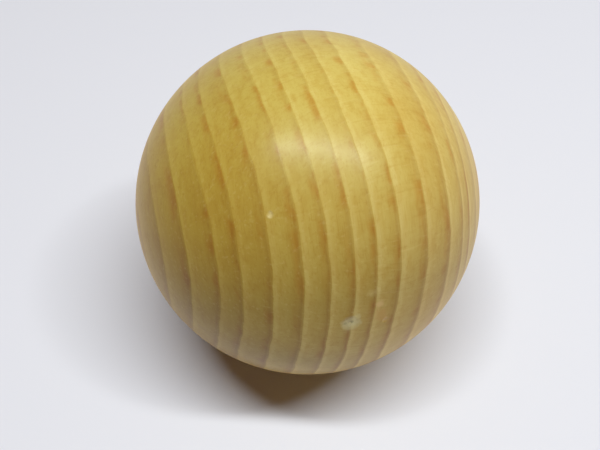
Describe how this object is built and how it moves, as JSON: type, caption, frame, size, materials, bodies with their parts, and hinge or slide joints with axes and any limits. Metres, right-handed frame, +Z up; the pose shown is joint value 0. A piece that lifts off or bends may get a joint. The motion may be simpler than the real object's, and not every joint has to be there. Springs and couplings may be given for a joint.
{
  "type": "wooden ball",
  "caption": "Solid turned hardwood ball with a clear satin finish, growth rings showing as long stripes, and small dings on one side.",
  "frame": {"origin": "centre of the ball", "axes": "+Z up as the ball lies, -Y towards the side with the dings, the wood's grain running up and backwards along +Y and +Z"},
  "size_m": [0.05, 0.05, 0.05],
  "materials": {
    "lacquered_wood": "satin"
  },
  "bodies": {
    "root": {"ball": "lacquered_wood"}
  },
  "joints": []
}
